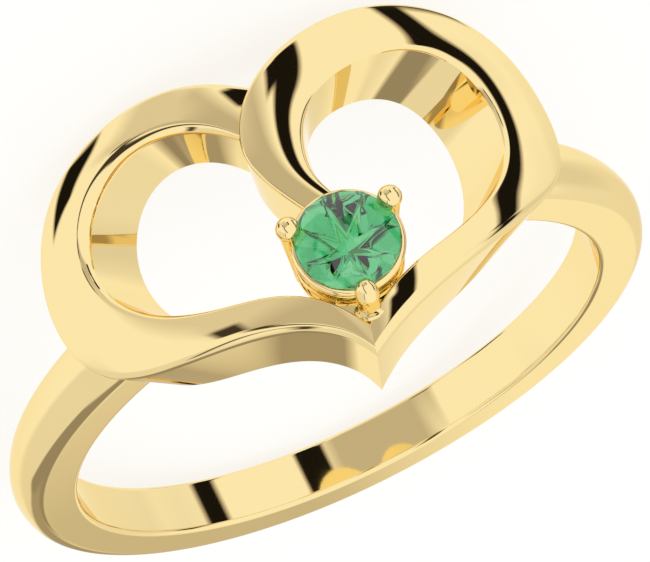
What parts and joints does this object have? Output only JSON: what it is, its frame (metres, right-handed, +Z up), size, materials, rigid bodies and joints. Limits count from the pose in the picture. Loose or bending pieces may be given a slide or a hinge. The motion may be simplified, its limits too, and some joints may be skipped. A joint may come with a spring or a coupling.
{
  "type": "finger ring",
  "caption": "Finger ring with an open heart wrapped round the finger and a small round green stone held by claws inside the heart.",
  "frame": {"origin": "middle of the outer box, on the floor the ring lies on", "axes": "+Z up; the ring lies on its side on both heart lobes and the back edge of the band, +Y towards the heart, -Y towards the back of the band, +X towards the wearer's right-hand lobe as seen from the stone's side with the V towards the viewer"},
  "size_m": [0.0208, 0.0222, 0.0105],
  "materials": {
    "gold": "polished yellow gold",
    "gem": "cut and polished green stone"
  },
  "bodies": {
    "root": {"ring": "gold", "stone": "gem"}
  },
  "joints": []
}
